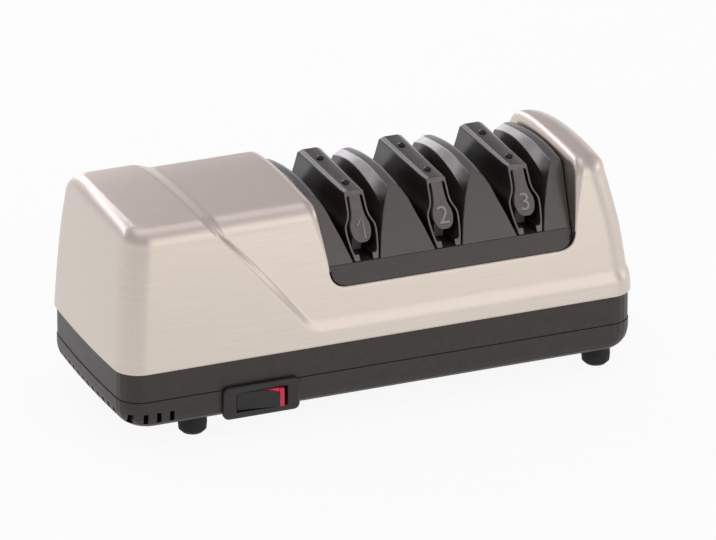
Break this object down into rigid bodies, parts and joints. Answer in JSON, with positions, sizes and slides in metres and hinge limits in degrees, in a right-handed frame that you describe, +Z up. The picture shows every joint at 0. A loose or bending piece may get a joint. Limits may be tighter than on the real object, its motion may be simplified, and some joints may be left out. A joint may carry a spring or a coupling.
{
  "type": "electric knife sharpener",
  "caption": "Table-top electric knife sharpener with a brushed metal cover, a slotted guide deck, spinning abrasive disks, a rocker switch and a clean-out cover.",
  "frame": {"origin": "on the table, under the middle of the sharpener's box", "axes": "+X along the length towards the third stage, -Y to the front with the switch, +Z up"},
  "size_m": [0.2576, 0.1034, 0.106],
  "materials": {
    "cover_metal": "satin, brushed along the length",
    "deck_plastic": "semi-gloss dark grey",
    "guide_plastic": "semi-gloss black",
    "core_plastic": "satin grey",
    "black_plastic": "fine grain black",
    "rubber": "matte",
    "rocker_red": "translucent look red",
    "steel": "bright",
    "bracket_steel": "zinc plated",
    "abrasive": "diamond coated, matte",
    "laminations": "stacked sheets",
    "copper": "wound copper wire",
    "bronze": "sintered bronze",
    "nylon": "natural nylon",
    "ferrite": "matte dark"
  },
  "bodies": {
    "housing": {"top_cover": "cover_metal", "guide_deck": "deck_plastic", "chassis": "black_plastic", "base_pan": "black_plastic", "foot_left_front": "rubber", "foot_left_back": "rubber", "foot_right_front": "rubber", "foot_right_back": "rubber", "pan_screw_left_front": "steel", "pan_screw_left_back": "steel", "pan_screw_right_front": "steel", "pan_screw_right_back": "steel", "switch_bezel": "black_plastic", "switch_body": "black_plastic", "cord_inlet": "rubber", "motor_stator": "laminations", "motor_coil_left": "copper", "motor_coil_right": "copper", "motor_bracket_left": "bracket_steel", "motor_bracket_right": "bracket_steel", "motor_bush_left": "bronze", "motor_bush_right": "bronze", "end_pedestal": "nylon", "end_bush": "bronze", "stage_1_spring_guide": "guide_plastic", "stage_1_guide_core": "core_plastic", "stage_1_screw_front": "steel", "stage_1_screw_back": "steel", "stage_2_spring_guide": "guide_plastic", "stage_2_guide_core": "core_plastic", "stage_2_screw_front": "steel", "stage_2_screw_back": "steel", "stage_3_spring_guide": "guide_plastic", "stage_3_guide_core": "core_plastic", "stage_3_screw_front": "steel", "stage_3_screw_back": "steel"},
    "rotor": {"drive_shaft": "steel", "motor_rotor": "laminations", "cooling_fan": "nylon", "stage_1_disk_left": "abrasive", "stage_1_disk_right": "abrasive", "stage_1_disk_spring": "steel", "stage_2_disk_left": "abrasive", "stage_2_disk_right": "abrasive", "stage_2_disk_spring": "steel", "stage_3_disk_left": "abrasive", "stage_3_disk_right": "abrasive", "stage_3_disk_spring": "steel"},
    "rocker": {"switch_rocker": "rocker_red", "switch_rocker_face": "black_plastic"},
    "cleanout": {"cleanout_cover": "black_plastic", "cleanout_magnet": "ferrite"}
  },
  "joints": [
    {"name": "rotor_spin", "type": "hinge", "parent": "housing", "child": "rotor", "pos_m": [0, 0.00095, 0.051], "axis": [1, 0, 0], "continuous": true},
    {"name": "rocker_tilt", "type": "hinge", "parent": "housing", "child": "rocker", "pos_m": [-0.0606, -0.0442, 0.0167], "axis": [0, 0, 1], "range_deg": [0, 16]},
    {"name": "cleanout_swing", "type": "hinge", "parent": "housing", "child": "cleanout", "pos_m": [0.03632, 0.01595, 0.0099], "axis": [1, 0, 0], "range_deg": [0, 15]}
  ]
}
